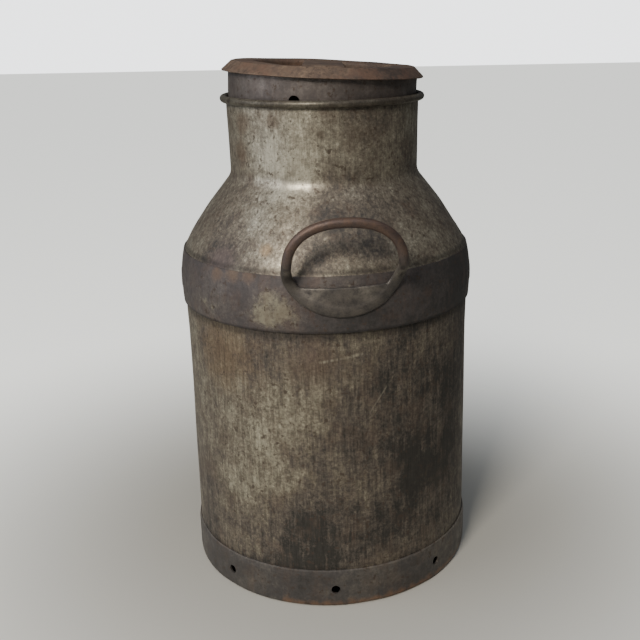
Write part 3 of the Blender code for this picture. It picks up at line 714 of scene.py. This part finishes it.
def forged_loop(steps=160, sides=24):
    """The bar, swept round the loop and changing from a flat rim to a round section."""
    face = Vector((0.0, -math.cos(loop_lean), -math.sin(loop_lean)))
    bm = bmesh.new()
    rings = []
    for step in range(steps):
        turn = 2 * math.pi * step / steps
        point, free = loop_point(turn)
        tangent = (loop_point(turn + 0.01)[0] - loop_point(turn - 0.01)[0]).normalized()
        out = Vector((point.x, point.y, 0.0)).normalized().lerp(face, free)
        out = (out - tangent * out.dot(tangent)).normalized()
        side = tangent.cross(out)
        worn = 1.0 + 0.03 * (noise.noise(point * 60.0) - 0.5)
        half_t = (rim_half_t + (bar_r - rim_half_t) * free) * worn
        half_side = (rim_half_w + (bar_r - rim_half_w) * free) * worn
        rings.append([bm.verts.new(point + out * (half_t * math.cos(2 * math.pi * k / sides))
                                   + side * (half_side * math.sin(2 * math.pi * k / sides)))
                      for k in range(sides)])
    for index in range(steps):
        this, following = rings[index - 1], rings[index]
        for k in range(sides):
            bm.faces.new((this[k - 1], this[k], following[k], following[k - 1]))
    bmesh.ops.recalc_face_normals(bm, faces=bm.faces)
    return bm


def forged_plate(columns=64, rows=18):
    """The plate between the legs, as a closed slab that follows the hoop."""
    reach = loop_half_w * math.sqrt(1 - ((loop_middle_z - plate_z1 + plate_t) / loop_half_fall) ** 2)
    bm = bmesh.new()
    grid = {}
    for i in range(columns + 1):
        across = reach * (2 * i / columns - 1)
        low = loop_middle_z - loop_half_fall * math.sqrt(1 - (across / loop_half_w) ** 2)
        azimuth = math.asin(across / crown_r)
        crown_edge = plate_z1 + 0.0012 * (across / reach) ** 2
        for j in range(rows + 1):
            z = low + (crown_edge - low) * j / rows
            for layer, r in enumerate((body_r + 0.001, hoop_radius(z) + plate_t)):
                grid[i, j, layer] = bm.verts.new((r * math.sin(azimuth), -r * math.cos(azimuth), z))
    for layer in (0, 1):
        for i in range(columns):
            for j in range(rows):
                bm.faces.new([grid[i + a, j + b, layer] for a, b in ((0, 0), (1, 0), (1, 1), (0, 1))])
    for i in range(columns):
        for j in (0, rows):
            bm.faces.new([grid[i + a, j, b] for a, b in ((0, 0), (1, 0), (1, 1), (0, 1))])
    for j in range(rows):
        for i in (0, columns):
            bm.faces.new([grid[i, j + a, b] for a, b in ((0, 0), (1, 0), (1, 1), (0, 1))])
    bmesh.ops.recalc_face_normals(bm, faces=bm.faces)
    return bm


def forged_handle(name):
    """Loop and plate in one piece: remeshed so that they flow into each other, then dressed to the hoop."""
    handle = finished(name, forged_loop())
    plate = finished("plate_blank", forged_plate())
    union = handle.modifiers.new("weld", "BOOLEAN")
    union.operation = "UNION"
    union.object = plate
    settled(handle)
    bpy.data.objects.remove(plate)
    remesh = handle.modifiers.new("flow", "REMESH")
    remesh.mode = "VOXEL"
    remesh.voxel_size = 0.0009
    smooth = handle.modifiers.new("soften", "CORRECTIVE_SMOOTH")
    smooth.factor = 0.5
    smooth.iterations = 5
    smooth.use_only_smooth = True
    settled(handle)
    inner_r = body_r - 0.03
    heights = [hoop_high.z - 0.0005 + (hoop_low.z - hoop_high.z) * k / 12 for k in range(13)]
    face = [Vector((hoop_radius(z) + 0.0002, z)) for z in heights]
    seat = [Vector((inner_r, face[0].y)), *face, Vector((inner_r, face[-1].y))]
    cut(handle, turned("seat_tool", seat, steps=360))
    return handle


def rusted_iron(name, skin, warm, dark, bright, worn=()):
    """Forged iron with a thin, handled rust skin: smooth and a little glossy on top, darker in its hollows.

    worn are places (point, radius, strength) rubbed back to grey metal.
    """
    made = bpy.data.materials.new(name)
    made.use_nodes = True
    tree = made.node_tree
    shader = tree.nodes["Principled BSDF"]
    place = add(tree, "TexCoord").outputs["Object"]
    # Scale from the forge in plates of 11 mm, and pitting of 1.4 mm.
    inputs = {"Vector": place, "Scale": 1 / 0.0111, "Detail": 5.0, "Roughness": 0.6}
    plates = add(tree, "TexNoise", inputs).outputs[0]
    inputs = {"Vector": place, "Scale": 1 / 0.00143, "Detail": 4.0, "Roughness": 0.7}
    pitting = add(tree, "TexNoise", inputs).outputs[0]
    height = add(tree, "SeparateXYZ", {0: place}).outputs["Z"]
    top = add(tree, "MapRange", {"Value": height, "From Min": 0.385, "From Max": 0.425},
              interpolation_type="SMOOTHSTEP").outputs[0]
    blotch = add(tree, "MapRange", {"Value": plates, "From Min": 0.36, "From Max": 0.64}).outputs[0]
    upper = add(tree, "Mix", {0: blotch, 6: linear(skin), 7: linear(warm)}, data_type="RGBA").outputs[2]
    lower = add(tree, "Mix", {0: blotch, 6: linear(dark), 7: linear(bright)}, data_type="RGBA").outputs[2]
    colour = add(tree, "Mix", {0: top, 6: lower, 7: upper}, data_type="RGBA").outputs[2]
    for point, radius, strength in worn:
        near = near_point(tree, place, point, radius, strength)
        near = add(tree, "Math", {0: near, 1: blotch}, operation="MULTIPLY").outputs[0]
        colour = add(tree, "Mix", {0: near, 6: colour, 7: linear("#8d877c")}, data_type="RGBA").outputs[2]
    pit_shade = add(tree, "MapRange", {"Value": pitting, "From Min": 0.28, "From Max": 0.48,
                                       "To Min": 0.55}).outputs[0]
    colour = add(tree, "VectorMath", {0: colour, "Scale": pit_shade}, operation="SCALE").outputs[0]
    tree.links.new(colour, shader.inputs["Base Color"])
    gloss = add(tree, "MapRange", {"Value": plates, "From Min": 0.3, "From Max": 0.7, "To Min": 0.42,
                                   "To Max": 0.62}).outputs[0]
    tree.links.new(gloss, shader.inputs["Roughness"])
    shader.inputs["Metallic"].default_value = 0.55
    skin_height = add(tree, "Math", {0: plates, 1: 1.5, 2: pitting}, operation="MULTIPLY_ADD").outputs[0]
    bump = add(tree, "Bump", {"Strength": 0.5, "Distance": 0.0004, "Height": skin_height}).outputs[0]
    tree.links.new(bump, shader.inputs["Normal"])
    return made


# Forged iron: brown rust polished by hands along the top of the bar, grey-black and slightly shiny on the
# plate, with bare grey rubbed through where other cans have knocked it.
rusted_forging = rusted_iron(
    "forged_iron_rust_skin", skin="#514642", warm="#635045", dark="#474442", bright="#5c5751",
    worn=(((0.055, -0.176, 0.386), 0.018, 0.9), ((-0.030, -0.171, 0.3727), 0.020, 0.5),
          ((0.020, -0.173, 0.3727), 0.022, 0.5), ((-0.057, -0.178, 0.395), 0.012, 0.5)))
front_handle = forged_handle("front_handle")
rear_handle = link_object("rear_handle", front_handle.data.copy())
rear_handle.data.transform(Matrix.Rotation(math.pi, 4, "Z"))
for handle, node in ((front_handle, "handle_front"), (rear_handle, "handle_rear")):
    handle.data.materials.clear()
    handle.data.materials.append(rusted_forging)
    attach(handle, "can")
    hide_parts(node)


# ---- Handle rivets ----
# Eight 5 mm tinned rivets: domed heads inside the breast, their outer ends dressed off under the plate.
rivet_head_r, rivet_head_h, rivet_shank_r = 0.0046, 0.0022, 0.0025
rivet_shank = 0.0045
rivet_head_plane = body_r - neck_gauge - sweat_gap
# Dull tin over steel: a greyish, half-bright little dome with dirt round its foot.
tinned_rivet = weathered_sheet(
    "dull_tinned_rivet_steel", stripes=0.0,
    tones=((0.15, "#4a443d"), (0.42, "#625a4f"), (0.62, "#7b7366"), (0.90, "#99917f")))


def domed_rivet(name, head_r, head_h, shank_r, shank):
    """A rivet with its head up: the dome stands on Z = 0 and the shank hangs below it."""
    turns = [math.pi / 2 * k / 8 for k in range(9)]
    dome = [Vector((head_r * math.sin(a), head_h * math.cos(a))) for a in turns]
    rivet = turned(name, dome + [Vector((shank_r, 0.0)), Vector((shank_r, -shank)), Vector((0.0, -shank))],
                   steps=24, closed=False)
    rivet.data.materials.append(tinned_rivet)
    return rivet


for side in ("front", "rear"):
    for number in range(1, 5):
        node = f"handle_rivet_{side}_{number}"
        low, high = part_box(node)
        middle = (low + high) / 2
        out = Vector((middle.x, middle.y, 0.0)).normalized()
        rivet = domed_rivet(f"rivet_{side}_{number}", rivet_head_r, rivet_head_h, rivet_shank_r, rivet_shank)
        place = Matrix.Translation(out * rivet_head_plane + Vector((0, 0, middle.z)))
        rivet.data.transform(place @ (-out).to_track_quat("Z", "Y").to_matrix().to_4x4())
        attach(rivet, "can")
        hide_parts(node)


# ---- Lid top ----
# One pressing: a conical brim, a flat ring and a deep finger recess. It is brown with rust, and its
# ring and brim are knocked out of true. The whole lid sits a little aslant in the neck.
lid_turn, lid_tilt = math.radians(-6.0), math.radians(2.83)
lid_place = (Matrix.Translation((0, 0, rim_z)) @ Matrix.Rotation(lid_turn, 4, "Z")
             @ Matrix.Rotation(lid_tilt, 4, "Y"))
lid_gauge = 0.0012
brim_r, brim_rise = 0.1133, 0.0258
ring_r, ring_rise = 0.1025, 0.0364
pan_r, pan_floor, pan_round = 0.0740, 0.0146, 0.0045


def brim_relief(azimuth, r, z):
    """Small knocks round the brim."""
    if r < ring_r - 0.002:
        return 0.0
    return min(0.0, (ripple(azimuth, 0.0, 5.0, 0.0, 7.0) - 0.42) * 0.0022)


def sag_ring(piece, depth):
    """Lets the flat ring dip in places, more towards the recess."""
    for vertex in piece.data.vertices:
        x, y, z = vertex.co
        r = math.hypot(x, y)
        azimuth = math.atan2(x, -y)
        near_ring = smooth_step(z, 0.024, 0.034) * smooth_step(r, pan_r - 0.006, pan_r + 0.002)
        inward = 1.0 - smooth_step(r, pan_r, ring_r + 0.004)
        dip = max(0.0, ripple(azimuth, 0.0, 2.2, 0.0, 1.5) * 0.5 + 0.25)
        knock = math.exp(-((azimuth - 0.25) / 0.40) ** 2) + 0.6 * math.exp(-((azimuth + 0.50) / 0.22) ** 2)
        vertex.co.z -= near_ring * (depth * dip + 0.0022 * knock * inward)


lid_line = dense(rounded([
    (0.0, pan_floor, 0),
    (pan_r, pan_floor, pan_round),
    (pan_r, ring_rise, pan_round),
    (ring_r, ring_rise, 0.0018),
    (brim_r, brim_rise, 0.0005),
    (brim_r - 0.0010, brim_rise - 0.0007, 0),
]), 0.004)
lid_under = set_in(lid_line, lid_gauge)
lid_under[0].x = 0.0
lid_sheet = turned("lid_pressing", lid_line + lid_under[::-1], relief=brim_relief, closed=False)
sag_ring(lid_sheet, 0.0010)
lid_sheet.data.transform(lid_place)
# Bare steel rusted brown all over and worn smooth by hands: matt, warm, with darker stains and no runs.
rusted_lid_steel = weathered_sheet(
    "rusted_lid_steel", stain="#6b5142", stains=0.5, stripes=0.0, flecks=0.45, grain=0.14,
    rough=(0.70, 0.55), metal=(0.25, 0.5),
    # The dark patch on the right of the lid is painted shade.
    patches=((on_can(40, 0.575, 0.105), 0.09, -0.20),),
    tones=((0.15, "#3f3631"), (0.42, "#584a40"), (0.65, "#705f50"), (0.92, "#978671")))
lid_sheet.data.materials.append(rusted_lid_steel)
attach(lid_sheet, "lid")
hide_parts("lid_top")


# ---- Lid collar ----
# The plug: a 1.5 mm ring soldered up under the brim, straight at first and tapered below, with its
# lower edge turned in and two air holes near the mouth.
collar_r, collar_foot_r, collar_gauge = 0.1049, 0.1026, 0.0015
collar_h, collar_straight, collar_bend, collar_lip = 0.0600, 0.0288, 0.02, 0.0030
air_hole_r, air_hole_z, air_hole_azimuth = 0.0060, 0.0012, -16.1
cone_top_r, cone_top_z, cone_w, cone_h = 0.1027, 0.0366, 0.0108, 0.0110    # the brim before its knocks
cone_slope = cone_h / cone_w
cone_gauge = lid_gauge * math.sqrt(1 + cone_slope ** 2)
collar_top = cone_top_z - (collar_r - cone_top_r) * cone_slope - cone_gauge - sweat_gap
collar_foot = collar_top - collar_h
collar_line = dense(rounded([
    (collar_r, collar_top, 0),
    (collar_r, collar_top - collar_straight, collar_bend),
    (collar_foot_r, collar_foot, collar_lip),
    (collar_foot_r - 2 * collar_lip, collar_foot - collar_lip / 2, 0),
]), 0.003)
collar = turned("collar_ring", sheet(collar_line, collar_gauge))
air_holes = [(air_hole_azimuth + opposite, air_hole_z) for opposite in (0, 180)]
cut(collar, radial_pins("air_drills", air_holes, air_hole_r, collar_r - 0.01, collar_r + 0.01))
collar.data.transform(lid_place)
collar.data.materials.clear()
# Rolled steel rubbed clean by the neck each time it was lifted: smooth grey-violet oxide with a quiet shine.
collar.data.materials.append(weathered_sheet(
    "oxidised_collar_steel", stain="#5e5045", stains=0.2, stripes=0.3, flecks=0.25, grain=0.08,
    rough=(0.56, 0.42), metal=(0.5, 0.7),
    tones=((0.15, "#403b39"), (0.45, "#56504d"), (0.65, "#68625e"), (0.92, "#8b8580"))))
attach(collar, "lid")
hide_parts("lid_collar")


# ---- Lid strap ----
# A flat strap of 2 mm steel across the recess to lift the lid by, its ends bent down and riveted to
# the wall. It has the lid's rust.
strap_w, strap_t, strap_tab, strap_bend = 0.0440, 0.0020, 0.0150, 0.0045
strap_top = 0.0358
strap_worn = 0.0004         # how far the long edges are rounded down
strap_reach = math.sqrt((pan_r - 0.0003) ** 2 - (strap_w / 2) ** 2)
strap_half = dense(rounded([
    (0.0, strap_top, 0),
    (strap_reach, strap_top, strap_bend),
    (strap_reach, strap_top - strap_tab, 0),
]), 0.003)
strap_under = set_in(strap_half, strap_t)
strap_under[0].x = 0.0
strap_bm = bmesh.new()
strap_columns = 14
for sign in (1, -1):
    outline = strap_half + strap_under[::-1]
    slices = []
    for k in range(strap_columns + 1):
        x = strap_w * (k / strap_columns - 0.5)
        from_edge = 1.0 - abs(2 * k / strap_columns - 1)
        worn = strap_worn * (1 - min(1.0, from_edge * 5))
        slices.append([strap_bm.verts.new((x, sign * p.x, p.y - worn)) for p in outline])
    for left, right in zip(slices, slices[1:]):
        for j in range(len(outline) - 1):
            strap_bm.faces.new((left[j], right[j], right[j + 1], left[j + 1]))
    for end in (slices[0], slices[-1]):
        for j in range(len(strap_half) - 1):
            strap_bm.faces.new((end[j], end[j + 1], end[-2 - j], end[-1 - j]))
bmesh.ops.remove_doubles(strap_bm, verts=strap_bm.verts, dist=1e-6)
bmesh.ops.recalc_face_normals(strap_bm, faces=strap_bm.faces)
strap = finished("strap", strap_bm)
strap.data.transform(lid_place)
strap.data.materials.append(rusted_lid_steel)
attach(strap, "lid")
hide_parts("lid_strap")


# ---- Strap rivets ----
# Four small domed rivets, tinned like those of the handles, that hold the strap's ends to the wall of
# the recess.
strap_rivet_r, strap_head_r, strap_head_h = 0.0020, 0.0040, 0.0016
strap_shank = pan_r + lid_gauge - strap_reach + strap_t
for number in range(1, 5):
    node = f"strap_rivet_{number}"
    low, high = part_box(node)
    middle = lid_place.inverted() @ ((low + high) / 2)
    towards_wall = 1 if middle.y > 0 else -1
    rivet = domed_rivet(f"strap_rivet_head_{number}", strap_head_r, strap_head_h, strap_rivet_r, strap_shank)
    stand = Matrix.Translation((middle.x, towards_wall * (strap_reach - strap_t), middle.z))
    rivet.data.transform(lid_place @ stand @ Matrix.Rotation(towards_wall * math.pi / 2, 4, "X"))
    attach(rivet, "lid")
    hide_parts(node)


# ---- Size ----
# A helper that gives a box as plain lists of rounded numbers.
def corners(box):
    """A box as plain lists of numbers."""
    return [[round(v, 5) for v in corner] for corner in box]
